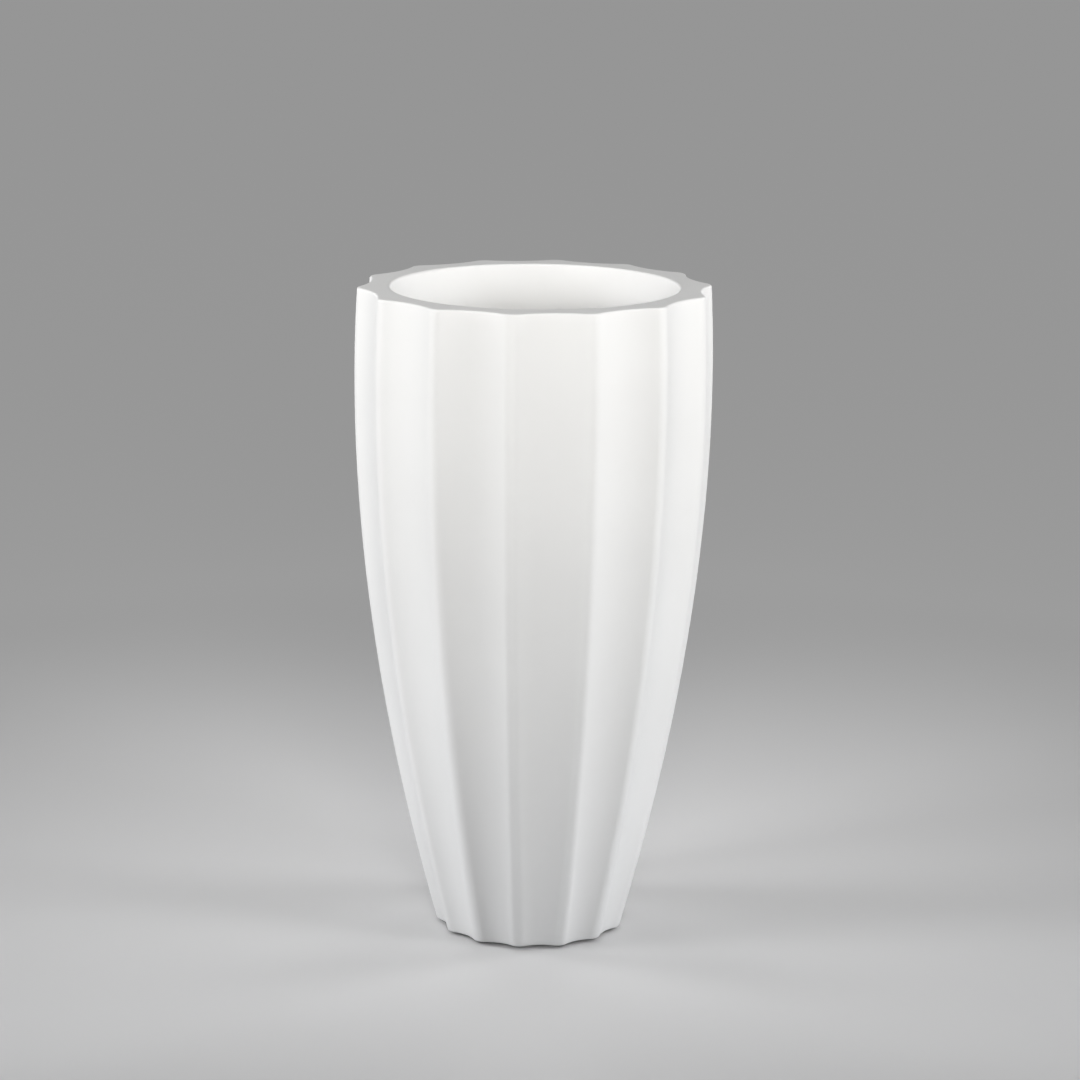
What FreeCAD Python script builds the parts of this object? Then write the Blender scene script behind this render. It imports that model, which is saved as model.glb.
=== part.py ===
import FreeCAD, Part
import math
import os

# Tall fluted floor planter in glass-fibre laminate, with a lift-out planting liner.
# Millimetres, +Z up. The origin is the centre of the footprint at floor level.
# A ridge of the fluting lies on the -Y axis.

# Shell outline, measured over the ridges of the fluting
overall_height = 900.0
shadow_gap = 4.0                # the shell's lower edge stands this far off the floor
base_ridge_radius = 131.3
lower_ridge_radius = 185.8
lower_rise = 226.0              # height of the lower station above the shell's lower edge
middle_ridge_radius = 227.3
rim_ridge_radius = 240.0
shoulder_swell = 3.9            # the shoulder, the widest place, stands out this far past the rim
shoulder_drop = 155.0           # depth of the shoulder below the rim

# Fluting: hollow arcs that meet in broad, soft ridges
flute_count = 14
rim_flute_depth = 14.0
base_flute_depth = 8.2
rim_ridge_rounding = 20.0
base_ridge_rounding = 16.0
loft_stations = 9

# Laminate of the shell
shell_wall = 5.0
ridge_build_up = 2.0            # extra resin behind each ridge, where the mat bridges the corner
rim_thickness = 8.0
rim_width = 31.0                # flat rim from the flute bottoms in to the mouth
rim_outer_rounding = 3.0
rim_inner_rounding = 3.5
floor_thickness = 6.0
floor_recess = 4.0              # height of the floor's underside above the shell's lower edge
floor_edge_width = 6.0          # land left round the recess, inside the flute bottoms
lower_edge_chamfer = 2.0

# Throat, the round inner skin under the rim, with the ledge that carries the liner
throat_wall = 5.0
ledge_depth = 96.0              # from the rim down to the top of the ledge
ledge_width = 21.0
ledge_thickness = 5.0
ledge_chamfer = 1.5

# Base plate and drain
base_plate_thickness = 12.0
base_plate_clearance = 1.0
bush_bore_radius = 15.0
bush_wall = 4.0
bush_flange_width = 10.0
bush_flange_thickness = 3.0
bush_protrusion = 2.0           # below the floor
bush_clearance = 0.1
plug_taper = 1.2                # smaller radius at the plug's lower end
plug_clearance = 0.3
plug_cap_overhang = 5.0
plug_cap_thickness = 4.0
plug_tab_width = 20.0
plug_tab_height = 16.0
plug_tab_thickness = 5.0
plug_grip_radius = 4.0          # round bead along the tab's top

# Feet and their screws
foot_count = 4
foot_radius = 18.0
foot_margin = 4.0               # between a foot and the edge of the recess
foot_taper = 1.5                # the foot is this much narrower at the floor
screw_shank_radius = 2.5
screw_hole_clearance = 0.1
screw_bite = 8.5                # length of the screw in the base plate
screw_tip_clearance = 0.5
screw_head_radius = 5.0
screw_head_height = 3.0
screw_head_clearance = 0.5
screw_head_sink = 1.5           # the head stays this far above the floor

# Liner
liner_depth = 380.0             # from the lip's top to the underside of its foot ring
liner_wall = 3.0
liner_side_clearance = 4.0      # between the pot and the ledge's edge, and the lip and the throat
liner_lip_thickness = 4.0
liner_taper = 29.0              # smaller radius at the foot than at the lip
liner_foot_ring_height = 8.0
liner_foot_ring_width = 5.0
liner_rib_count = 12
liner_rib_thickness = 4.0
liner_rib_depth = 3.0
liner_rib_length = 60.0
liner_drain_radius = 5.0
liner_drain_circle_radius = 75.0
liner_drain_count = 6

# Levels that the pieces share
shell_bottom = shadow_gap
shell_top = overall_height
floor_bottom = shell_bottom + floor_recess
floor_top = floor_bottom + floor_thickness
base_plate_top = floor_top + base_plate_thickness
rim_underside = shell_top - rim_thickness
ledge_top = shell_top - ledge_depth
ledge_bottom = ledge_top - ledge_thickness
screw_head_top = screw_head_sink + screw_head_height
screw_tip = floor_top + screw_bite

# Radii that the pieces share
mouth_radius = rim_ridge_radius - rim_flute_depth - rim_width
ledge_opening_radius = mouth_radius - ledge_width
recess_radius = base_ridge_radius - base_flute_depth - floor_edge_width
foot_circle_radius = recess_radius - foot_margin - foot_radius
screw_hole_radius = screw_shank_radius + screw_hole_clearance
bush_sleeve_radius = bush_bore_radius + bush_wall
bush_hole_radius = bush_sleeve_radius + bush_clearance

axis = FreeCAD.Vector(0, 0, 1)
over = 1.0                      # cutting tools run this far past the faces they cut


def at(height, x=0.0, y=0.0):
    return FreeCAD.Vector(x, y, height)


def cylinder(radius, bottom, top, x=0.0, y=0.0):
    return Part.makeCylinder(radius, top - bottom, at(bottom, x, y))


def cone(lower_radius, upper_radius, bottom, top, x=0.0, y=0.0):
    return Part.makeCone(lower_radius, upper_radius, top - bottom, at(bottom, x, y))


def round_pattern(count, radius):
    places = []
    for i in range(count):
        angle = 2 * math.pi * (i + 0.5) / count
        places.append((radius * math.cos(angle), radius * math.sin(angle)))
    return places


def outline_curve():
    lower_height = shell_bottom + lower_rise
    shoulder_height = shell_top - shoulder_drop
    middle_height = (lower_height + shoulder_height) / 2
    stations = [
        (base_ridge_radius, shell_bottom),
        (lower_ridge_radius, lower_height),
        (middle_ridge_radius, middle_height),
        (rim_ridge_radius + shoulder_swell, shoulder_height),
        (rim_ridge_radius, shell_top),
    ]
    curve = Part.BSplineCurve()
    curve.interpolate(Points=[at(z, r) for r, z in stations], Parameters=[z for r, z in stations])
    return curve


outline = outline_curve()


def ridge_radius(height):
    return outline.value(height).x


def flute_depth(height):
    # The flutes deepen as the body widens.
    share = (ridge_radius(height) - base_ridge_radius) / (rim_ridge_radius - base_ridge_radius)
    return base_flute_depth + (rim_flute_depth - base_flute_depth) * share


def ridge_rounding(height):
    share = (height - shell_bottom) / (shell_top - shell_bottom)
    return base_ridge_rounding + (rim_ridge_rounding - base_ridge_rounding) * share


def valley_radius(height):
    return ridge_radius(height) - flute_depth(height)


def fluted_wire(ridge, valley, rounding, height):
    # One flute is an arc tangent to the rounded ridges on both sides of it.
    half_pitch = math.pi / flute_count
    ridge_centre = ridge - rounding
    along = ridge_centre * math.cos(half_pitch)
    across = ridge_centre * math.sin(half_pitch)
    inward = along - valley
    flute_radius = (inward ** 2 + across ** 2 - rounding ** 2) / (2 * (inward + rounding))
    flute_centre = valley + flute_radius
    spread = math.hypot(flute_centre - along, across)
    touch_along = along + rounding * (flute_centre - along) / spread
    touch_across = across - rounding * across / spread
    touch_radius = math.hypot(touch_along, touch_across)
    touch_angle = math.atan2(touch_across, touch_along)

    def polar(radius, angle):
        return at(height, radius * math.cos(angle), radius * math.sin(angle))

    edges = []
    for i in range(flute_count):
        middle = -math.pi / 2 + (2 * i + 1) * half_pitch
        start = polar(touch_radius, middle - touch_angle)
        end = polar(touch_radius, middle + touch_angle)
        next_start = polar(touch_radius, middle + 2 * half_pitch - touch_angle)
        edges.append(Part.Arc(start, polar(valley, middle), end).toShape())
        edges.append(Part.Arc(end, polar(ridge, middle + half_pitch), next_start).toShape())
    return Part.Wire(edges)


def fluted_solid(bottom, top, ridge_inset, valley_inset):
    wires = []
    for i in range(loft_stations):
        height = bottom + (top - bottom) * i / (loft_stations - 1)
        ridge = ridge_radius(height) - ridge_inset
        valley = valley_radius(height) - valley_inset
        wires.append(fluted_wire(ridge, valley, ridge_rounding(height), height))
    return Part.makeLoft(wires, True, False)


def edges_at(shape, height):
    level = []
    for edge in shape.Edges:
        box = edge.BoundBox
        if abs(box.ZMin - height) < 1e-3 and abs(box.ZMax - height) < 1e-3:
            level.append(edge)
    return level


def round_edges_at(shape, height, radius):
    return [e for e in edges_at(shape, height) if abs(e.BoundBox.XMax - radius) < 1e-3]


def cut_screw_holes(shape, bottom, top):
    for x, y in round_pattern(foot_count, foot_circle_radius):
        shape = shape.cut(cylinder(screw_hole_radius, bottom, top, x, y))
    return shape


def make_outer_shell():
    outside = fluted_solid(shell_bottom, shell_top, 0.0, 0.0)
    outside = outside.makeFillet(rim_outer_rounding, edges_at(outside, shell_top))
    outside = outside.makeChamfer(lower_edge_chamfer, edges_at(outside, shell_bottom))
    hollow = fluted_solid(floor_top, rim_underside, shell_wall + ridge_build_up, shell_wall)
    shell = outside.cut(hollow)
    shell = shell.cut(cylinder(mouth_radius, rim_underside - over, shell_top + over))
    shell = shell.makeFillet(rim_inner_rounding, round_edges_at(shell, shell_top, mouth_radius))
    shell = shell.cut(cylinder(recess_radius, shell_bottom - over, floor_bottom))
    shell = shell.cut(cylinder(bush_hole_radius, floor_bottom - over, floor_top + over))
    return cut_screw_holes(shell, floor_bottom - over, floor_top + over)


def make_inner_throat():
    throat = cylinder(mouth_radius + throat_wall, ledge_bottom, rim_underside)
    throat = throat.cut(cylinder(mouth_radius, ledge_top, rim_underside + over))
    throat = throat.cut(cylinder(ledge_opening_radius, ledge_bottom - over, ledge_top + over))
    return throat.makeChamfer(ledge_chamfer, round_edges_at(throat, ledge_top, ledge_opening_radius))


def make_base_plate():
    radius = valley_radius(floor_top) - shell_wall - base_plate_clearance
    plate = cylinder(radius, floor_top, base_plate_top)
    plate = plate.cut(cylinder(bush_hole_radius, floor_top - over, base_plate_top + over))
    return cut_screw_holes(plate, floor_top - over, screw_tip + screw_tip_clearance)


def make_drain_bush():
    sleeve_bottom = floor_bottom - bush_protrusion
    flange_top = base_plate_top + bush_flange_thickness
    sleeve = cylinder(bush_sleeve_radius, sleeve_bottom, base_plate_top)
    flange = cylinder(bush_sleeve_radius + bush_flange_width, base_plate_top, flange_top)
    flange = flange.makeChamfer(bush_flange_thickness / 3, edges_at(flange, flange_top))
    bush = sleeve.fuse(flange).removeSplitter()
    return bush.cut(cylinder(bush_bore_radius, sleeve_bottom - over, flange_top + over))


def make_drain_plug():
    seat = base_plate_top + bush_flange_thickness
    cap_top = seat + plug_cap_thickness
    stem_radius = bush_bore_radius - plug_clearance
    stem = cone(stem_radius - plug_taper, stem_radius, floor_bottom, seat)
    cap = cylinder(stem_radius + plug_cap_overhang, seat, cap_top)
    cap = cap.makeChamfer(plug_cap_thickness / 3, edges_at(cap, cap_top))
    corner = at(cap_top, -plug_tab_width / 2, -plug_tab_thickness / 2)
    tab = Part.makeBox(plug_tab_width, plug_tab_thickness, plug_tab_height, corner)
    bead_end = at(cap_top + plug_tab_height, -plug_tab_width / 2)
    bead = Part.makeCylinder(plug_grip_radius, plug_tab_width, bead_end, FreeCAD.Vector(1, 0, 0))
    return stem.fuse([cap, tab, bead]).removeSplitter()


def make_rubber_feet():
    feet = []
    for x, y in round_pattern(foot_count, foot_circle_radius):
        foot = cone(foot_radius - foot_taper, foot_radius, 0, floor_bottom, x, y)
        head_room = screw_head_radius + screw_head_clearance
        foot = foot.cut(cylinder(head_room, -over, screw_head_top, x, y))
        feet.append(foot.cut(cylinder(screw_hole_radius, 0, floor_bottom + over, x, y)))
    return Part.makeCompound(feet)


def make_foot_screws():
    screws = []
    for x, y in round_pattern(foot_count, foot_circle_radius):
        head = cylinder(screw_head_radius, screw_head_sink, screw_head_top, x, y)
        head = head.makeChamfer(screw_head_height / 2, edges_at(head, screw_head_sink))
        shank = cylinder(screw_shank_radius, screw_head_top, screw_tip, x, y)
        screws.append(head.fuse(shank).removeSplitter())
    return Part.makeCompound(screws)


def make_planting_liner():
    lip_top = ledge_top + liner_lip_thickness
    bottom = lip_top - liner_depth
    floor = bottom + liner_foot_ring_height
    inside_bottom = floor + liner_wall
    top_radius = ledge_opening_radius - liner_side_clearance - liner_rib_depth
    lip_radius = mouth_radius - liner_side_clearance

    def side_radius(height):
        return top_radius - liner_taper * (lip_top - height) / liner_depth

    pot = cone(side_radius(bottom), side_radius(lip_top), bottom, lip_top)
    lip = cylinder(lip_radius, ledge_top, lip_top)
    lip = lip.makeChamfer(liner_lip_thickness / 3, edges_at(lip, lip_top))
    rib_foot = ledge_top - liner_rib_length
    rib_side = -liner_rib_thickness / 2
    corners = [
        at(rib_foot, side_radius(rib_foot) - liner_wall, rib_side),
        at(rib_foot, side_radius(rib_foot), rib_side),
        at(ledge_top, side_radius(ledge_top) + liner_rib_depth, rib_side),
        at(ledge_top, side_radius(ledge_top) - liner_wall, rib_side),
    ]
    rib = Part.Face(Part.makePolygon(corners + corners[:1]))
    rib = rib.extrude(FreeCAD.Vector(0, liner_rib_thickness, 0))
    ribs = [rib.rotated(at(0), axis, 360.0 * i / liner_rib_count) for i in range(liner_rib_count)]
    liner = pot.fuse([lip] + ribs)
    inside_radius = side_radius(inside_bottom) - liner_wall
    liner = liner.cut(cone(inside_radius, side_radius(lip_top) - liner_wall, inside_bottom, lip_top))
    liner = liner.cut(cylinder(side_radius(bottom) - liner_foot_ring_width, bottom - over, floor))
    for x, y in round_pattern(liner_drain_count, liner_drain_circle_radius):
        liner = liner.cut(cylinder(liner_drain_radius, floor - over, inside_bottom + over, x, y))
    return liner.removeSplitter()


pieces = {
    "outer_shell": make_outer_shell,
    "inner_throat": make_inner_throat,
    "base_plate": make_base_plate,
    "drain_bush": make_drain_bush,
    "drain_plug": make_drain_plug,
    "rubber_feet": make_rubber_feet,
    "foot_screws": make_foot_screws,
    "planting_liner": make_planting_liner,
}

os.makedirs("parts", exist_ok=True)
for name, make in pieces.items():
    shape = make()
    shape.exportStep("parts/" + name + ".step")
    print(name, shape.isValid(), len(shape.Solids), round(shape.Volume / 1000, 1), "cm3")
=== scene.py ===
import math

import bmesh
import bpy
from mathutils import Matrix, Vector


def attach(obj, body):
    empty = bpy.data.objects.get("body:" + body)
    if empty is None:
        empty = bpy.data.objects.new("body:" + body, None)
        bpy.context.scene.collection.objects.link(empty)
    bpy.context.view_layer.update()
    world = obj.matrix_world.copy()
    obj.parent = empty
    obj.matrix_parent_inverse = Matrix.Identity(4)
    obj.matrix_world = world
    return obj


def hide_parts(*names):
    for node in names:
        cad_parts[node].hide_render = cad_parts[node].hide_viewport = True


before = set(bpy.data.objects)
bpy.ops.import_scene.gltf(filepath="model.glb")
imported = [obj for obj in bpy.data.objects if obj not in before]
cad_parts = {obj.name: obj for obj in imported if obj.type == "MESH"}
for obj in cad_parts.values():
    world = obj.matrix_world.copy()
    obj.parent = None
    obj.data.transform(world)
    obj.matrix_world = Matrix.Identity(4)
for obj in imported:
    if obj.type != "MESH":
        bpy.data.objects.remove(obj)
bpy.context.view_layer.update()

print("frame loaded:", ", ".join(sorted(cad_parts)))


# helpers for meshes, lengths in metres

sharpAbove = 38.0  # degrees, softer folds are shaded smooth
cornerSteps = 4    # faces round a rounded corner


def turn(angle, radius, height):
    # angle 0 faces the front, -Y
    return Vector((radius * math.sin(angle), -radius * math.cos(angle), height))


def arcSteps(count):
    return [i / count for i in range(count + 1)]


def quarterTurn(count):
    return [share * math.pi / 2 for share in arcSteps(count)]


def shareOf(value, low, high):
    return (value - low) / (high - low)


def addRings(mesh, rings, finishes, closed=True):
    # skins a row of rings, and closes the two ends of an open row
    rows = [[mesh.verts.new(point) for point in ring] for ring in rings]
    follow = rows[1:] + rows[:1] if closed else rows[1:]
    count = len(rows[0])
    for lower, upper, finish in zip(rows, follow, finishes):
        for i in range(count):
            j = (i + 1) % count
            mesh.faces.new((lower[i], lower[j], upper[j], upper[i])).material_index = finish
    if not closed:
        mesh.faces.new(rows[0]).material_index = finishes[0]
        mesh.faces.new(rows[-1]).material_index = finishes[-1]


def softCorners(corners, closed=True):
    # outline through (radius, height, rounding, finish) corners, with an arc at each rounded one
    outline = []
    for i, (radius, height, rounding, finish) in enumerate(corners):
        here = Vector((radius, height))
        if rounding == 0 or not closed and i in (0, len(corners) - 1):
            outline.append((radius, height, finish))
            continue
        back = (Vector(corners[i - 1][:2]) - here).normalized()
        on = (Vector(corners[(i + 1) % len(corners)][:2]) - here).normalized()
        half = back.angle(on) / 2
        centre = here + (back + on).normalized() * rounding / math.sin(half)
        start = here + back * rounding / math.tan(half) - centre
        end = here + on * rounding / math.tan(half) - centre
        for share in arcSteps(cornerSteps):
            point = centre + start.lerp(end, share).normalized() * rounding
            outline.append((point.x, point.y, finish))
    return outline


def addTurned(mesh, outline, sides, closed=True, x=0.0, y=0.0):
    place = Vector((x, y, 0))
    rings = []
    for radius, height, finish in outline:
        rings.append([turn(2 * math.pi * i / sides, radius, height) + place for i in range(sides)])
    addRings(mesh, rings, [finish for radius, height, finish in outline], closed)


def addPiece(name, mesh, finishes):
    bmesh.ops.recalc_face_normals(mesh, faces=mesh.faces)
    for face in mesh.faces:
        face.smooth = True
    data = bpy.data.meshes.new(name)
    mesh.to_mesh(data)
    mesh.free()
    for finish in finishes:
        data.materials.append(finish)
    data.set_sharp_from_angle(angle=math.radians(sharpAbove))
    piece = bpy.data.objects.new(name, data)
    bpy.context.scene.collection.objects.link(piece)
    return piece


def cutAway(piece, cutterMesh):
    cutter = addPiece(piece.name + "Cutter", cutterMesh, [])
    cut = piece.modifiers.new("cut", "BOOLEAN")
    cut.solver = "EXACT"
    cut.use_self = True
    cut.object = cutter
    result = piece.evaluated_get(bpy.context.evaluated_depsgraph_get())
    data = bpy.data.meshes.new_from_object(result)
    piece.modifiers.remove(cut)
    data.name = piece.name
    piece.data = data
    data.set_sharp_from_angle(angle=math.radians(sharpAbove))
    bpy.data.objects.remove(cutter)


def roundPattern(count, radius):
    angles = [2 * math.pi * (i + 0.5) / count for i in range(count)]
    return [(radius * math.cos(angle), radius * math.sin(angle)) for angle in angles]


def settle(piece, body, node):
    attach(piece, body)
    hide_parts(node)
    print(piece.name, "built with", len(piece.data.polygons), "faces")


# helpers for materials

noiseBand = (0.35, 0.65)  # where nearly all values of a noise lie


def newMaterial(name):
    material = bpy.data.materials.new(name)
    material.use_nodes = True
    nodes = material.node_tree.nodes
    return material, nodes, material.node_tree.links, nodes["Principled BSDF"]


def addNode(nodes, kind, **values):
    node = nodes.new(kind)
    for key, value in values.items():
        if key in node.inputs:
            node.inputs[key].default_value = value
        else:
            setattr(node, key, value)
    return node


def rampBetween(nodes, low, high, start=0.0, end=1.0):
    ramp = nodes.new("ShaderNodeValToRGB")
    ramp.color_ramp.elements[0].position = start
    ramp.color_ramp.elements[1].position = end
    ramp.color_ramp.elements[0].color = (*low, 1)
    ramp.color_ramp.elements[1].color = (*high, 1)
    return ramp


def mapRange(nodes, low, high, fromLow=0.0, fromHigh=1.0):
    node = nodes.new("ShaderNodeMapRange")
    node.inputs["From Min"].default_value = fromLow
    node.inputs["From Max"].default_value = fromHigh
    node.inputs["To Min"].default_value = low
    node.inputs["To Max"].default_value = high
    return node


paint = {
    "clean": (0.84, 0.84, 0.835),
    "thin": (0.815, 0.815, 0.81),
    "cloudScale": 5.0,
    "cloudBand": (0.30, 0.62),
    "roughness": (0.38, 0.47),
    "specular": 0.42,
    "peelScale": 420.0,   # sprayed orange peel, about 2 mm
    "peelDepth": 0.00003,
    "peelStrength": 0.5,
    "waveScale": 9.0,     # hand-rubbed mould, long shallow waves
    "waveDepth": 0.0004,
    "waveStrength": 0.4,
}


def makeSatinPaint():
    p = paint
    material, nodes, links, surface = newMaterial("satinPaint")
    place = addNode(nodes, "ShaderNodeTexCoord")
    cloud = addNode(nodes, "ShaderNodeTexNoise", Scale=p["cloudScale"], Detail=4.0, Roughness=0.55)
    links.new(place.outputs["Object"], cloud.inputs["Vector"])
    colour = rampBetween(nodes, p["thin"], p["clean"], *p["cloudBand"])
    links.new(cloud.outputs["Fac"], colour.inputs["Fac"])
    links.new(colour.outputs["Color"], surface.inputs["Base Color"])
    gloss = mapRange(nodes, *p["roughness"], *noiseBand)
    links.new(cloud.outputs["Fac"], gloss.inputs["Value"])
    links.new(gloss.outputs["Result"], surface.inputs["Roughness"])
    peel = addNode(nodes, "ShaderNodeTexNoise", Scale=p["peelScale"], Detail=2.0)
    links.new(place.outputs["Object"], peel.inputs["Vector"])
    fine = addNode(nodes, "ShaderNodeBump", Strength=p["peelStrength"], Distance=p["peelDepth"])
    links.new(peel.outputs["Fac"], fine.inputs["Height"])
    wave = addNode(nodes, "ShaderNodeTexNoise", Scale=p["waveScale"], Detail=1.0)
    links.new(place.outputs["Object"], wave.inputs["Vector"])
    soft = addNode(nodes, "ShaderNodeBump", Strength=p["waveStrength"], Distance=p["waveDepth"])
    links.new(wave.outputs["Fac"], soft.inputs["Height"])
    links.new(fine.outputs["Normal"], soft.inputs["Normal"])
    links.new(soft.outputs["Normal"], surface.inputs["Normal"])
    surface.inputs["Specular IOR Level"].default_value = p["specular"]
    return material


laminate = {
    "resin": (0.43, 0.41, 0.30),
    "strand": (0.63, 0.61, 0.50),
    "strandScale": 70.0,
    "strandBand": (0.02, 0.18),
    "bendScale": 14.0,
    "strandBend": 0.05,
    "roughness": 0.38,
    "reliefDepth": 0.0006,
    "reliefStrength": 0.6,
}


def makeRawLaminate():
    m = laminate
    material, nodes, links, surface = newMaterial("rawLaminate")
    place = addNode(nodes, "ShaderNodeTexCoord")
    bend = addNode(nodes, "ShaderNodeTexNoise", Scale=m["bendScale"], Detail=2.0)
    links.new(place.outputs["Object"], bend.inputs["Vector"])
    bent = addNode(nodes, "ShaderNodeVectorMath", operation="MULTIPLY_ADD")
    bent.inputs[1].default_value = [m["strandBend"]] * 3
    links.new(bend.outputs["Color"], bent.inputs[0])
    links.new(place.outputs["Object"], bent.inputs[2])
    strands = addNode(
        nodes, "ShaderNodeTexVoronoi", feature="DISTANCE_TO_EDGE", Scale=m["strandScale"])
    links.new(bent.outputs["Vector"], strands.inputs["Vector"])
    colour = rampBetween(nodes, m["strand"], m["resin"], *m["strandBand"])
    links.new(strands.outputs["Distance"], colour.inputs["Fac"])
    links.new(colour.outputs["Color"], surface.inputs["Base Color"])
    relief = addNode(
        nodes, "ShaderNodeBump", Strength=m["reliefStrength"], Distance=m["reliefDepth"])
    links.new(strands.outputs["Distance"], relief.inputs["Height"])
    links.new(relief.outputs["Normal"], surface.inputs["Normal"])
    surface.inputs["Roughness"].default_value = m["roughness"]
    return material


moulded = {
    "cloudScale": 18.0,
    "cloudBand": (0.3, 0.7),
    "shade": (0.86, 1.12),  # darkest and palest share of the colour
    "glossSwing": 0.06,
    "grainStrength": 0.6,
}


def makeMoulded(name, colour, roughness, grainScale, grainDepth, metallic=0.0):
    # plastic, rubber or plated metal: clouded colour and gloss, with a fine grain
    material, nodes, links, surface = newMaterial(name)
    place = addNode(nodes, "ShaderNodeTexCoord")
    cloud = addNode(nodes, "ShaderNodeTexNoise", Scale=moulded["cloudScale"], Detail=4.0)
    links.new(place.outputs["Object"], cloud.inputs["Vector"])
    dark, pale = ([min(1.0, part * share) for part in colour] for share in moulded["shade"])
    shade = rampBetween(nodes, dark, pale, *moulded["cloudBand"])
    links.new(cloud.outputs["Fac"], shade.inputs["Fac"])
    links.new(shade.outputs["Color"], surface.inputs["Base Color"])
    swing = moulded["glossSwing"]
    gloss = mapRange(nodes, roughness - swing, roughness + swing, *noiseBand)
    links.new(cloud.outputs["Fac"], gloss.inputs["Value"])
    links.new(gloss.outputs["Result"], surface.inputs["Roughness"])
    grain = addNode(nodes, "ShaderNodeTexNoise", Scale=grainScale, Detail=3.0)
    links.new(place.outputs["Object"], grain.inputs["Vector"])
    bump = addNode(nodes, "ShaderNodeBump", Strength=moulded["grainStrength"], Distance=grainDepth)
    links.new(grain.outputs["Fac"], bump.inputs["Height"])
    links.new(bump.outputs["Normal"], surface.inputs["Normal"])
    surface.inputs["Metallic"].default_value = metallic
    return material


satinPaint = makeSatinPaint()
rawLaminate = makeRawLaminate()
painted, raw = 0, 1  # finish numbers on the pieces that have both
print("paint and laminate mixed")


# the fluted shell

shell = {
    "flutes": 14,
    "outline": [  # height and radius over the ridges
        (0.004, 0.1313),
        (0.230, 0.1858),
        (0.4875, 0.2273),
        (0.745, 0.2439),
        (0.900, 0.2400),
    ],
    "fluteDepth": (0.0082, 0.0140),     # base, rim
    "ridgeRounding": (0.0160, 0.0200),  # base, rim
    "wall": 0.005,
    "ridgeBuildUp": 0.002,
    "mouth": 0.195,
    "rimUnderside": 0.892,
    "rimOuterRounding": 0.003,
    "rimInnerRounding": 0.0035,
    "lowerRounding": 0.0025,
    "recess": 0.1171,
    "recessCove": 0.002,
    "floorUnderside": 0.008,
    "floorTop": 0.014,
    "drainHole": 0.0191,
    "fluteSteps": 20,
    "ridgeSteps": 12,
    "edgeSteps": 5,
    "lipSteps": 6,
    "coveSteps": 3,
    "wallRows": 96,
    "hollowRows": 44,
    "rimShares": (0.04, 0.3, 0.6, 0.94),  # rings across the rim and the flat faces
    "underRimShares": (0.3, 0.7),
    "floorShares": (0.35, 0.7, 1.0),
    "recessShares": (0.4, 0.8),
}


def cubicThrough(points):
    # clamped cubic through the points, its end slopes those of a cubic through the four end points
    def endSlope(four, at):
        slope = 0.0
        for i, (xi, yi) in enumerate(four):
            others = [x for k, (x, y) in enumerate(four) if k != i]
            below = math.prod(xi - x for x in others)
            above = sum(math.prod(at - x for k, x in enumerate(others) if k != m) for m in range(3))
            slope += yi * above / below
        return slope

    xs = [x for x, y in points]
    ys = [y for x, y in points]
    last = len(xs) - 1
    slopes = [0.0] * (last + 1)
    slopes[0] = endSlope(points[:4], xs[0])
    slopes[last] = endSlope(points[-4:], xs[last])
    rounds = 200  # settles the inner slopes so that the curvature runs on at each point
    for sweep in range(rounds):
        for i in range(1, last):
            before, after = xs[i] - xs[i - 1], xs[i + 1] - xs[i]
            pull = 3 * ((ys[i] - ys[i - 1]) / before ** 2 + (ys[i + 1] - ys[i]) / after ** 2)
            rest = pull - slopes[i - 1] / before - slopes[i + 1] / after
            slopes[i] = rest / (2 / before + 2 / after)

    def value(x):
        i = max(k for k in range(last) if k == 0 or x >= xs[k])
        span = xs[i + 1] - xs[i]
        t = (x - xs[i]) / span
        return (ys[i] * (1 + 2 * t) * (1 - t) ** 2 + slopes[i] * span * t * (1 - t) ** 2
                + ys[i + 1] * t * t * (3 - 2 * t) + slopes[i + 1] * span * t * t * (t - 1))

    return value


ridgeRadius = cubicThrough(shell["outline"])


def fluteSection(height, ridgeInset=0.0, valleyInset=0.0):
    # points round the fluting at this height, each with its outward direction
    (low, baseRadius), (high, rimRadius) = shell["outline"][0], shell["outline"][-1]
    baseDepth, rimDepth = shell["fluteDepth"]
    depth = baseDepth + (rimDepth - baseDepth) * shareOf(ridgeRadius(height), baseRadius, rimRadius)
    baseRounding, rimRounding = shell["ridgeRounding"]
    rounding = baseRounding + (rimRounding - baseRounding) * shareOf(height, low, high)
    ridge = ridgeRadius(height) - ridgeInset
    valley = ridgeRadius(height) - depth - valleyInset
    half = math.pi / shell["flutes"]
    along = (ridge - rounding) * math.cos(half)
    across = (ridge - rounding) * math.sin(half)
    inward = along - valley
    radius = (inward ** 2 + across ** 2 - rounding ** 2) / (2 * (inward + rounding))
    centre = valley + radius
    lean = math.atan2(across, centre - along)  # half the flute's arc, seen from its centre
    points = []

    def addPoint(angle, out, side, swing):
        point = turn(angle, out, height) + turn(angle + math.pi / 2, side, 0)
        points.append((point, turn(angle + swing, 1.0, 0)))

    for flute in range(shell["flutes"]):
        middle = (2 * flute + 1) * half
        for share in arcSteps(shell["fluteSteps"])[:-1]:
            swing = lean * (2 * share - 1)
            addPoint(middle, centre - radius * math.cos(swing), radius * math.sin(swing), -swing)
        for share in arcSteps(shell["ridgeSteps"])[:-1]:
            swing = (lean + half) * (2 * share - 1)
            out = ridge - rounding + rounding * math.cos(swing)
            addPoint(middle + half, out, rounding * math.sin(swing), swing)
    return points


def insetRing(level, inset):
    return [point - facing * inset for point, facing in fluteSection(level)]


def hollowRing(level):
    section = fluteSection(level, shell["wall"] + shell["ridgeBuildUp"], shell["wall"])
    return [point for point, facing in section]


def roundRing(pattern, radius, level):
    ring = []
    for point in pattern:
        stretch = radius / math.hypot(point.x, point.y)
        ring.append(Vector((point.x * stretch, point.y * stretch, level)))
    return ring


def mixRings(first, second, share):
    return [a.lerp(b, share) for a, b in zip(first, second)]


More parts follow.
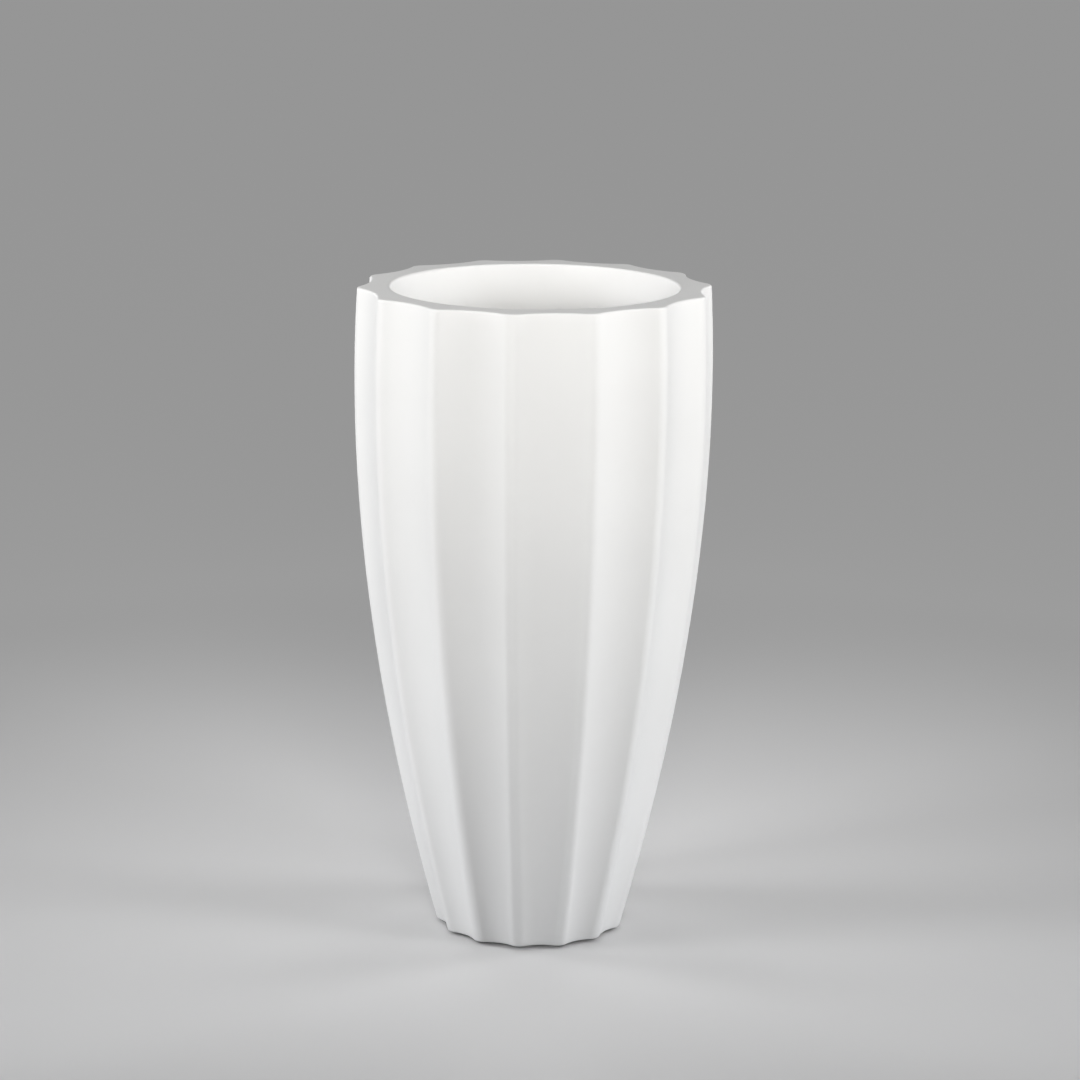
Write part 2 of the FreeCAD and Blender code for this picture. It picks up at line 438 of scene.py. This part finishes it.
def buildShell():
    s = shell
    bottom, top = s["outline"][0][0], s["outline"][-1][0]
    rings, finishes = [], []

    def add(ring, finish):
        rings.append(ring)
        finishes.append(finish)

    low, high = s["lowerRounding"], s["rimOuterRounding"]
    for swing in quarterTurn(s["edgeSteps"]):  # lower edge, from the land up
        add(insetRing(bottom + low - low * math.cos(swing), low - low * math.sin(swing)), painted)
    for share in arcSteps(s["wallRows"])[1:-1]:
        add(insetRing(bottom + low + (top - high - bottom - low) * share, 0.0), painted)
    for swing in quarterTurn(s["edgeSteps"]):  # outer edge of the rim
        add(insetRing(top - high + high * math.sin(swing), high - high * math.cos(swing)), painted)
    rimEdge = rings[-1]
    lip, mouth, under = s["rimInnerRounding"], s["mouth"], s["rimUnderside"]
    mouthEdge = roundRing(rimEdge, mouth + lip, top)
    for share in s["rimShares"]:
        add(mixRings(rimEdge, mouthEdge, share), painted)
    for swing in quarterTurn(s["lipSteps"]):  # inner edge of the rim
        radius = mouth + lip - lip * math.sin(swing)
        add(roundRing(rimEdge, radius, top - lip + lip * math.cos(swing)), painted)
    add(roundRing(rimEdge, mouth, under), raw)
    hollowTop = hollowRing(under)
    for share in s["underRimShares"]:
        add(mixRings(roundRing(rimEdge, mouth, under), hollowTop, share), raw)
    floorTop, hole = s["floorTop"], s["drainHole"]
    for share in arcSteps(s["hollowRows"]):
        add(hollowRing(under + (floorTop - under) * share), raw)
    hollowFoot = rings[-1]
    holeEdge = roundRing(hollowFoot, hole, floorTop)
    for share in s["floorShares"]:
        add(mixRings(hollowFoot, holeEdge, share), raw)
    cove, recess, floorUnder = s["recessCove"], s["recess"], s["floorUnderside"]
    add(roundRing(hollowFoot, hole, floorUnder), painted)
    for share in s["recessShares"]:
        add(roundRing(hollowFoot, hole + (recess - hole) * share, floorUnder), painted)
    for swing in quarterTurn(s["coveSteps"]):  # cove at the edge of the recess
        radius = recess - cove + cove * math.sin(swing)
        add(roundRing(hollowFoot, radius, floorUnder - cove + cove * math.cos(swing)), painted)
    add(roundRing(hollowFoot, recess, bottom), painted)
    mesh = bmesh.new()
    addRings(mesh, rings, finishes)
    return addPiece("flutedShell", mesh, [satinPaint, rawLaminate])


settle(buildShell(), "planter", "outer_shell")


# the round throat under the rim, with the ledge for the liner

throat = {
    "mouth": 0.195,
    "wall": 0.005,
    "top": 0.892,
    "ledgeTop": 0.804,
    "ledgeBottom": 0.799,
    "ledgeEdge": 0.174,
    "cove": 0.004,
    "edgeRounding": 0.0015,
    "underRounding": 0.0005,
    "sides": 192,
}


def buildThroat():
    t = throat
    outside = t["mouth"] + t["wall"]
    outline = softCorners([
        (t["mouth"], t["top"], 0, painted),
        (t["mouth"], t["ledgeTop"], t["cove"], painted),
        (t["ledgeEdge"], t["ledgeTop"], t["edgeRounding"], painted),
        (t["ledgeEdge"], t["ledgeBottom"], t["underRounding"], raw),
        (outside, t["ledgeBottom"], t["edgeRounding"], raw),
        (outside, t["top"], 0, raw),
    ])
    mesh = bmesh.new()
    addTurned(mesh, outline, t["sides"])
    return addPiece("throatSkin", mesh, [satinPaint, rawLaminate])


settle(buildThroat(), "planter", "inner_throat")


# the lift-out liner

liner = {
    "lipTop": 0.808,
    "lipUnderside": 0.804,
    "lipRadius": 0.191,
    "lipCove": 0.0015,
    "lipLowerRounding": 0.0008,
    "lipUpperRounding": 0.0016,
    "topRadius": 0.167,       # outside of the pot, at the lip's top
    "topRounding": 0.003,
    "wall": 0.003,
    "footRadius": 0.138,
    "bottom": 0.428,
    "footRingWidth": 0.005,
    "footRingRounding": 0.0012,
    "footRingCove": 0.002,
    "floorUnderside": 0.436,
    "floorTop": 0.439,
    "floorCove": 0.006,
    "fillLine": 0.768,        # small raised ring inside
    "fillLineHeight": 0.0006,
    "gateRadius": 0.006,      # mark of the moulding gate, in the middle of the floor
    "gateHeight": 0.0006,
    "middleDiscs": (0.003, 0.002),  # close the middle of the floor, below and above
    "ribs": 12,
    "ribThickness": 0.004,
    "ribDepth": 0.003,
    "ribFootDepth": 0.0002,
    "ribLength": 0.060,
    "drains": 6,
    "drainRadius": 0.005,
    "drainCircle": 0.075,
    "drainOverrun": 0.004,    # how far the cutter passes the floor
    "drainSides": 32,
    "sides": 192,
    "finish": {
        "colour": (0.085, 0.085, 0.09), "roughness": 0.50,
        "grainScale": 800.0, "grainDepth": 0.00006,
    },
}


def linerRadius(height):
    share = shareOf(height, liner["bottom"], liner["lipTop"])
    return liner["footRadius"] + (liner["topRadius"] - liner["footRadius"]) * share


def addRib(mesh, angle):
    n = liner
    top, foot = n["lipUnderside"], n["lipUnderside"] - n["ribLength"]
    sunk = n["wall"] / 2
    outline = [
        (linerRadius(foot) - sunk, foot),
        (linerRadius(foot) + n["ribFootDepth"], foot),
        (linerRadius(top) + n["ribDepth"], top),
        (linerRadius(top) - sunk, top),
    ]
    sides = []
    for offset in (-n["ribThickness"] / 2, n["ribThickness"] / 2):
        across = turn(angle + math.pi / 2, offset, 0)
        corners = [turn(angle, radius, height) + across for radius, height in outline]
        sides.append([mesh.verts.new(corner) for corner in corners])
    near, far = sides
    mesh.faces.new(near)
    mesh.faces.new(far)
    for i in range(len(outline)):
        j = (i + 1) % len(outline)
        mesh.faces.new((near[i], near[j], far[j], far[i]))


def buildLiner():
    n = liner
    discBelow, discAbove = n["middleDiscs"]
    ringInside = n["footRadius"] - n["footRingWidth"]
    inside = linerRadius(n["floorTop"]) - n["wall"]
    line, proud = n["fillLine"], n["fillLineHeight"]
    lineRadius = linerRadius(line) - n["wall"]
    outline = softCorners([
        (discBelow, n["floorUnderside"], 0, 0),
        (ringInside, n["floorUnderside"], n["footRingCove"], 0),
        (ringInside, n["bottom"], n["footRingRounding"], 0),
        (n["footRadius"], n["bottom"], n["footRingRounding"], 0),
        (linerRadius(n["lipUnderside"]), n["lipUnderside"], n["lipCove"], 0),
        (n["lipRadius"], n["lipUnderside"], n["lipLowerRounding"], 0),
        (n["lipRadius"], n["lipTop"], n["lipUpperRounding"], 0),
        (n["topRadius"] - n["wall"], n["lipTop"], n["topRounding"], 0),
        (lineRadius, line + 2 * proud, 0, 0),
        (lineRadius - proud, line + proud, 0, 0),
        (lineRadius - proud, line - proud, 0, 0),
        (lineRadius, line - 2 * proud, 0, 0),
        (inside, n["floorTop"], n["floorCove"], 0),
        (n["gateRadius"] + n["gateHeight"], n["floorTop"], 0, 0),
        (n["gateRadius"], n["floorTop"] + n["gateHeight"], 0, 0),
        (discAbove, n["floorTop"] + n["gateHeight"], 0, 0),
    ], closed=False)
    mesh = bmesh.new()
    addTurned(mesh, outline, n["sides"], closed=False)
    for i in range(n["ribs"]):
        addRib(mesh, 2 * math.pi * i / n["ribs"] + math.pi / 2)
    piece = addPiece("plantingLiner", mesh, [makeMoulded("linerPlastic", **n["finish"])])
    holes = bmesh.new()
    radius, overrun = n["drainRadius"], n["drainOverrun"]
    ends = [(radius, n["floorUnderside"] - overrun, 0), (radius, n["floorTop"] + overrun, 0)]
    for x, y in roundPattern(n["drains"], n["drainCircle"]):
        addTurned(holes, ends, n["drainSides"], closed=False, x=x, y=y)
    cutAway(piece, holes)
    return piece


settle(buildLiner(), "planting_liner", "planting_liner")


# the drain: a bush through the floor and the rubber plug in it

drain = {
    "bore": 0.015,
    "sleeve": 0.019,
    "sleeveBottom": 0.006,
    "endRounding": 0.0006,
    "flange": 0.029,
    "flangeBottom": 0.026,
    "flangeTop": 0.029,
    "flangeRounding": 0.0012,
    "smallRounding": 0.0005,
    "sides": 96,
    "finish": {
        "colour": (0.20, 0.20, 0.21), "roughness": 0.42,
        "grainScale": 900.0, "grainDepth": 0.00005,
    },
}


def buildBush():
    d = drain
    outline = softCorners([
        (d["bore"], d["sleeveBottom"], d["endRounding"], 0),
        (d["sleeve"], d["sleeveBottom"], d["endRounding"], 0),
        (d["sleeve"], d["flangeBottom"], 0, 0),
        (d["flange"], d["flangeBottom"], d["smallRounding"], 0),
        (d["flange"], d["flangeTop"], d["flangeRounding"], 0),
        (d["bore"], d["flangeTop"], d["smallRounding"], 0),
    ])
    mesh = bmesh.new()
    addTurned(mesh, outline, d["sides"])
    return addPiece("drainBush", mesh, [makeMoulded("drainPlastic", **d["finish"])])


settle(buildBush(), "planter", "drain_bush")

plug = {
    "stemBottom": 0.008,
    "stemLower": 0.0135,
    "stemUpper": 0.0147,
    "stemRounding": 0.0015,
    "capBottom": 0.029,
    "capTop": 0.033,
    "capRadius": 0.0197,
    "capLowerRounding": 0.0006,
    "capUpperRounding": 0.0016,
    "middleDisc": 0.003,      # closes the middle, below and above
    "tabHalfWidth": 0.010,
    "tabHalfThickness": 0.0025,
    "tabSunk": 0.0005,
    "tabFlare": 0.0012,       # the tab thickens where it meets the cap
    "flareHeights": (0.0012, 0.0028),
    "beadHeight": 0.049,
    "beadRadius": 0.004,
    "beadSteps": 12,
    "endRounding": 0.0015,
    "endSteps": 4,
    "sides": 96,
    "finish": {
        "colour": (0.045, 0.045, 0.047), "roughness": 0.62,
        "grainScale": 600.0, "grainDepth": 0.00008,
    },
}


def tabRing(x, inset):
    p = plug
    half, bead = p["tabHalfThickness"] - inset, p["beadRadius"] - inset
    foot, flare = p["capTop"] - p["tabSunk"], p["tabFlare"]
    lower, upper = p["flareHeights"]
    side = [(half + flare, foot), (half + flare / 3, foot + lower), (half, foot + upper)]
    meet = math.asin(half / bead)  # where the bead runs into the tab's side
    for share in arcSteps(p["beadSteps"]):
        swing = math.pi - meet - (math.pi - meet) * share
        side.append((bead * math.sin(swing), p["beadHeight"] + bead * math.cos(swing)))
    other = [(-y, z) for y, z in reversed(side[:-1])]
    return [Vector((x, y, z)) for y, z in side + other]


def buildPlug():
    p = plug
    outline = softCorners([
        (p["middleDisc"], p["stemBottom"], 0, 0),
        (p["stemLower"], p["stemBottom"], p["stemRounding"], 0),
        (p["stemUpper"], p["capBottom"], 0, 0),
        (p["capRadius"], p["capBottom"], p["capLowerRounding"], 0),
        (p["capRadius"], p["capTop"], p["capUpperRounding"], 0),
        (p["middleDisc"], p["capTop"], 0, 0),
    ], closed=False)
    mesh = bmesh.new()
    addTurned(mesh, outline, p["sides"], closed=False)
    rings = []
    swings = quarterTurn(p["endSteps"])
    for side, order in ((-1, swings), (1, swings[::-1])):
        for swing in order:
            inset = p["endRounding"] * (1 - math.sin(swing))
            reach = p["tabHalfWidth"] - p["endRounding"] * (1 - math.cos(swing))
            rings.append(tabRing(side * reach, inset))
    addRings(mesh, rings, [0] * len(rings), closed=False)
    return addPiece("drainPlug", mesh, [makeMoulded("plugRubber", **p["finish"])])


settle(buildPlug(), "drain_plug", "drain_plug")


# the feet and their screws

foot = {
    "count": 4,
    "circle": 0.0951,
    "topRadius": 0.018,
    "floorRadius": 0.0165,
    "top": 0.008,
    "headRoom": 0.0055,
    "headRoomTop": 0.0045,
    "screwHole": 0.0026,
    "innerRounding": 0.0004,
    "edgeRounding": 0.0006,
    "soleRounding": 0.0014,
    "grooves": (0.0088, 0.0126),  # grip rings in the sole
    "grooveWidth": 0.0012,
    "grooveDepth": 0.0008,
    "grooveShape": ((-0.5, 0.0), (-0.3, 1.0), (0.3, 1.0), (0.5, 0.0)),  # shares of width and depth
    "sides": 72,
    "finish": {
        "colour": (0.05, 0.05, 0.052), "roughness": 0.66,
        "grainScale": 600.0, "grainDepth": 0.00008,
    },
}


def buildFeet():
    f = foot
    sole = []
    for radius in f["grooves"]:
        for step, depth in f["grooveShape"]:
            sole.append((radius + step * f["grooveWidth"], depth * f["grooveDepth"], 0, 0))
    outline = softCorners([
        (f["screwHole"], f["headRoomTop"], 0, 0),
        (f["headRoom"], f["headRoomTop"], f["innerRounding"], 0),
        (f["headRoom"], 0.0, f["edgeRounding"], 0),
        *sole,
        (f["floorRadius"], 0.0, f["soleRounding"], 0),
        (f["topRadius"], f["top"], f["edgeRounding"], 0),
        (f["screwHole"], f["top"], 0, 0),
    ])
    mesh = bmesh.new()
    for x, y in roundPattern(f["count"], f["circle"]):
        addTurned(mesh, outline, f["sides"], x=x, y=y)
    return addPiece("footPads", mesh, [makeMoulded("footRubber", **f["finish"])])


settle(buildFeet(), "planter", "rubber_feet")

screw = {
    "headRadius": 0.005,
    "headBottom": 0.0015,
    "headRim": 0.0031,
    "headTop": 0.0045,
    "domeSteps": 6,
    "core": 0.0018,
    "thread": 0.0025,
    "pitch": 0.0014,
    "rowsPerPitch": 5,
    "crestSteepness": 3,
    "tip": 0.0225,
    "tipLength": 0.003,
    "tipEnd": 0.05,           # share of the width that is left at the point
    "crossLength": 0.0056,
    "crossWidth": 0.0011,
    "crossDepth": 0.0016,
    "crossOverrun": 0.001,    # how far the cutter starts below the head
    "crossTaper": 0.72,
    "sides": 24,
    "finish": {
        "colour": (0.55, 0.55, 0.53), "roughness": 0.30, "metallic": 1.0,
        "grainScale": 1500.0, "grainDepth": 0.00002,
    },
}


def screwRings(x, y):
    c = screw
    place = Vector((x, y, 0))
    profile = []
    for swing in quarterTurn(c["domeSteps"])[1:]:  # domed face of the head
        rise = (c["headRim"] - c["headBottom"]) * (1 - math.cos(swing))
        profile.append((c["headRadius"] * math.sin(swing), c["headBottom"] + rise))
    profile.append((c["headRadius"], c["headTop"]))
    angles = [2 * math.pi * i / c["sides"] for i in range(c["sides"])]
    rings = []
    for radius, height in profile:
        rings.append([turn(angle, radius, height) + place for angle in angles])
    rows = int((c["tip"] - c["headTop"]) / c["pitch"] * c["rowsPerPitch"])
    for share in arcSteps(rows):
        height = c["headTop"] + (c["tip"] - c["headTop"]) * share
        fade = min(1.0, (c["tip"] - height) / c["tipLength"] + c["tipEnd"])
        ring = []
        for i, angle in enumerate(angles):
            climb = height / c["pitch"] - i / c["sides"]
            crest = max(0.0, 1 - c["crestSteepness"] * abs(climb % 1 - 0.5))
            radius = (c["core"] + (c["thread"] - c["core"]) * crest) * fade
            ring.append(turn(angle, radius, height) + place)
        rings.append(ring)
    return rings


def crossRings(x, y, length, width):
    c = screw
    low, high = c["headBottom"] - c["crossOverrun"], c["headBottom"] + c["crossDepth"]
    rings = []
    for height, taper in ((low, 1.0), (high, c["crossTaper"])):
        ring = []
        for i, j in ((-1, -1), (1, -1), (1, 1), (-1, 1)):
            ring.append(Vector((x + i * length * taper / 2, y + j * width * taper / 2, height)))
        rings.append(ring)
    return rings


def buildScrews():
    c = screw
    longSide, thinSide = c["crossLength"], c["crossWidth"]
    mesh = bmesh.new()
    cross = bmesh.new()
    for x, y in roundPattern(foot["count"], foot["circle"]):
        rings = screwRings(x, y)
        addRings(mesh, rings, [0] * len(rings), closed=False)
        for length, width in ((longSide, thinSide), (thinSide, longSide)):
            addRings(cross, crossRings(x, y, length, width), [0, 0], closed=False)
    piece = addPiece("footScrews", mesh, [makeMoulded("screwZinc", **c["finish"])])
    cutAway(piece, cross)
    return piece


settle(buildScrews(), "planter", "foot_screws")


# the base board keeps its own solid

board = {
    "dark": (0.50, 0.35, 0.20),
    "pale": (0.70, 0.56, 0.38),
    "stretch": (3.0, 60.0, 60.0),  # the grain runs along X
    "grainScale": 1.6,
    "grainBend": 0.6,
    "grainBand": (0.35, 0.68),
    "grainDepth": 0.0002,
    "grainStrength": 0.4,
    "roughness": 0.55,
}


def makePlyBoard():
    b = board
    material, nodes, links, surface = newMaterial("plyBoard")
    place = addNode(nodes, "ShaderNodeTexCoord")
    stretch = addNode(nodes, "ShaderNodeMapping", Scale=b["stretch"])
    links.new(place.outputs["Object"], stretch.inputs["Vector"])
    grain = addNode(nodes, "ShaderNodeTexNoise", Scale=b["grainScale"], Detail=6.0, Roughness=0.6)
    grain.inputs["Distortion"].default_value = b["grainBend"]
    links.new(stretch.outputs["Vector"], grain.inputs["Vector"])
    shade = rampBetween(nodes, b["dark"], b["pale"], *b["grainBand"])
    links.new(grain.outputs["Fac"], shade.inputs["Fac"])
    links.new(shade.outputs["Color"], surface.inputs["Base Color"])
    bump = addNode(nodes, "ShaderNodeBump", Strength=b["grainStrength"], Distance=b["grainDepth"])
    links.new(grain.outputs["Fac"], bump.inputs["Height"])
    links.new(bump.outputs["Normal"], surface.inputs["Normal"])
    surface.inputs["Roughness"].default_value = b["roughness"]
    return material


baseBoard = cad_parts["base_plate"]
baseBoard.data.materials.clear()
baseBoard.data.materials.append(makePlyBoard())
print("base board finished")


# floor, light and camera

stage = {
    "floorRadius": 60.0,
    "floorSides": 96,
    "floorColour": (0.66, 0.66, 0.665),
    "farColour": (0.20, 0.20, 0.202),
    "floorBounce": (0.158, 0.16, 0.168),  # what the floor throws back at the planter
    "nearGlow": 0.0,                      # lift of the floor to the eye, which lights nothing
    "farGlow": 0.30,
    "fadeFrom": 0.3,                      # from near to far, measured from the planter
    "fadeTo": 2.1,
    "roomTone": 0.306,                    # past the floor's edge, to the eye alone
    "roomFill": 0.02,                     # faint light from all round
}


def seenRay(nodes, links):
    # 1 for what the eye sees, straight or in a reflection
    ray = addNode(nodes, "ShaderNodeLightPath")
    seen = ray.outputs["Is Camera Ray"]
    for kind in ("Is Glossy Ray", "Is Transmission Ray"):
        most = addNode(nodes, "ShaderNodeMath", operation="MAXIMUM")
        links.new(seen, most.inputs[0])
        links.new(ray.outputs[kind], most.inputs[1])
        seen = most.outputs["Value"]
    return seen


def makePaleFloor():
    # pale to the eye and in reflections, darker to the light that it throws back
    material, nodes, links, surface = newMaterial("paleFloor")
    seen = seenRay(nodes, links)
    place = addNode(nodes, "ShaderNodeTexCoord")
    away = addNode(nodes, "ShaderNodeVectorMath", operation="LENGTH")
    links.new(place.outputs["Object"], away.inputs[0])
    fade = mapRange(nodes, 0.0, 1.0, stage["fadeFrom"], stage["fadeTo"])
    fade.interpolation_type = "SMOOTHSTEP"
    links.new(away.outputs["Value"], fade.inputs["Value"])
    shownColour = rampBetween(nodes, stage["floorColour"], stage["farColour"])
    links.new(fade.outputs["Result"], shownColour.inputs["Fac"])
    colour = addNode(nodes, "ShaderNodeMix", data_type="RGBA")
    links.new(seen, colour.inputs["Factor"])
    colour.inputs["A"].default_value = (*stage["floorBounce"], 1)
    links.new(shownColour.outputs["Color"], colour.inputs["B"])
    links.new(colour.outputs["Result"], surface.inputs["Base Color"])
    glow = mapRange(nodes, stage["nearGlow"], stage["farGlow"])
    links.new(fade.outputs["Result"], glow.inputs["Value"])
    shown = addNode(nodes, "ShaderNodeMath", operation="MULTIPLY")
    links.new(seen, shown.inputs[0])
    links.new(glow.outputs["Result"], shown.inputs[1])
    links.new(shown.outputs["Value"], surface.inputs["Emission Strength"])
    surface.inputs["Emission Color"].default_value = (1.0, 1.0, 1.0, 1)
    surface.inputs["Specular IOR Level"].default_value = 0.0
    return material


def buildFloor():
    sides, radius = stage["floorSides"], stage["floorRadius"]
    mesh = bmesh.new()
    bmesh.ops.create_circle(mesh, cap_ends=True, segments=sides, radius=radius)
    data = bpy.data.meshes.new("paleFloor")
    mesh.to_mesh(data)
    mesh.free()
    data.materials.append(makePaleFloor())
    floor = bpy.data.objects.new("paleFloor", data)
    bpy.context.scene.collection.objects.link(floor)
    return floor


camera = {
    "azimuth": 7.24,     # degrees round from the front ridge
    "distance": 4.4233,
    "height": 1.5996,
    "pitch": 13.377,
    "yaw": 0.122,
    "roll": 0.486,
    "lens": 110.43,
    "sensor": 36.0,
    "sightEnd": 90.0,    # past the floor's edge
}


def placeCamera():
    c = camera
    azimuth, pitch, yaw, roll = (math.radians(c[k]) for k in ("azimuth", "pitch", "yaw", "roll"))
    level = math.cos(pitch)
    ahead = Vector((math.sin(yaw) * level, math.cos(yaw) * level, -math.sin(pitch)))
    right = Vector((math.cos(yaw), -math.sin(yaw), 0.0))
    up = right.cross(ahead)
    tiltedRight = math.cos(roll) * right + math.sin(roll) * up
    tiltedUp = math.cos(roll) * up - math.sin(roll) * right
    spin = Matrix.Rotation(azimuth, 4, "Z")
    place = Matrix((tiltedRight, tiltedUp, -ahead)).transposed().to_4x4()
    place.translation = Vector((0.0, -c["distance"], c["height"]))
    data = bpy.data.cameras.new("viewpoint")
    data.sensor_width = c["sensor"]
    data.lens = c["lens"]
    data.clip_end = c["sightEnd"]
    viewpoint = bpy.data.objects.new("viewpoint", data)
    viewpoint.matrix_world = spin @ place
    bpy.context.scene.collection.objects.link(viewpoint)
    bpy.context.scene.camera = viewpoint


tints = {
    "plain": (1.0, 1.0, 1.0),
    "warm": (1.0, 0.975, 0.92),
    "cool": (0.985, 0.988, 1.0),
    "coolest": (0.96, 0.975, 1.0),
}

lamps = {  # side in degrees round from the camera, spread in degrees, power in watts
    "keyBox": {
        "side": 4.0, "away": 3.0, "height": 1.4, "aim": 0.95,
        "size": (0.8, 0.8), "power": 4.2, "spread": 70.0, "tint": "cool",
    },
    "upperBox": {
        "side": 4.0, "away": 3.0, "height": 1.55, "aim": 1.45,
        "size": (0.8, 0.6), "power": 5.8, "spread": 60.0, "tint": "warm",
    },
    "leftHigh": {
        "side": -68.0, "away": 2.0, "height": 1.5, "aim": 0.9,
        "size": (0.6, 0.8), "power": 8.2, "spread": 120.0, "tint": "plain",
    },
    "leftStrip": {
        "side": -100.0, "away": 2.0, "height": 1.5, "aim": 0.9,
        "size": (0.6, 0.8), "power": 9.0, "spread": 120.0, "tint": "plain",
    },
    "leftLow": {
        "side": -64.0, "away": 2.0, "height": 0.2, "aim": 0.08,
        "size": (0.3, 0.3), "power": 0.92, "spread": 48.0, "tint": "coolest",
    },
    "leftBack": {
        "side": -150.0, "away": 2.2, "height": 0.95, "aim": 0.75,
        "size": (0.8, 0.9), "power": 4.5, "spread": 100.0, "tint": "plain",
    },
    "rightHigh": {
        "side": 60.0, "away": 2.0, "height": 1.5, "aim": 0.9,
        "size": (0.6, 0.8), "power": 6.8, "spread": 120.0, "tint": "plain",
    },
    "rightStrip": {
        "side": 100.0, "away": 2.0, "height": 1.5, "aim": 0.9,
        "size": (0.6, 0.8), "power": 8.4, "spread": 120.0, "tint": "plain",
    },
    "rightLow": {
        "side": 68.0, "away": 2.0, "height": 0.2, "aim": 0.08,
        "size": (0.3, 0.3), "power": 0.9, "spread": 46.0, "tint": "coolest",
    },
    "rightBack": {
        "side": 150.0, "away": 2.2, "height": 0.95, "aim": 0.75,
        "size": (0.8, 0.9), "power": 4.5, "spread": 100.0, "tint": "plain",
    },
}


def placeLamp(name, lamp):
    data = bpy.data.lights.new(name, "AREA")
    data.shape = "RECTANGLE"
    data.size, data.size_y = lamp["size"]
    data.energy = lamp["power"]
    data.color = tints[lamp["tint"]]
    data.spread = math.radians(lamp["spread"])
    body = bpy.data.objects.new(name, data)
    body.visible_camera = False
    body.visible_glossy = False  # no lamp shapes on the paint
    where = turn(math.radians(lamp["side"] + camera["azimuth"]), lamp["away"], lamp["height"])
    body.location = where
    body.rotation_euler = (Vector((0, 0, lamp["aim"])) - where).to_track_quat("-Z", "Y").to_euler()
    bpy.context.scene.collection.objects.link(body)


def lightWorld():
    world = bpy.data.worlds.new("softRoom")
    bpy.context.scene.world = world
    world.use_nodes = True
    nodes, links = world.node_tree.nodes, world.node_tree.links
    strength = mapRange(nodes, stage["roomFill"], stage["roomTone"])
    links.new(seenRay(nodes, links), strength.inputs["Value"])
    links.new(strength.outputs["Result"], nodes["Background"].inputs["Strength"])
    nodes["Background"].inputs["Color"].default_value = (1.0, 1.0, 1.0, 1)


buildFloor()
placeCamera()
for lampName, lamp in lamps.items():
    placeLamp(lampName, lamp)
lightWorld()
bpy.context.scene.view_settings.view_transform = "Standard"
print("stage, lamps and camera set")
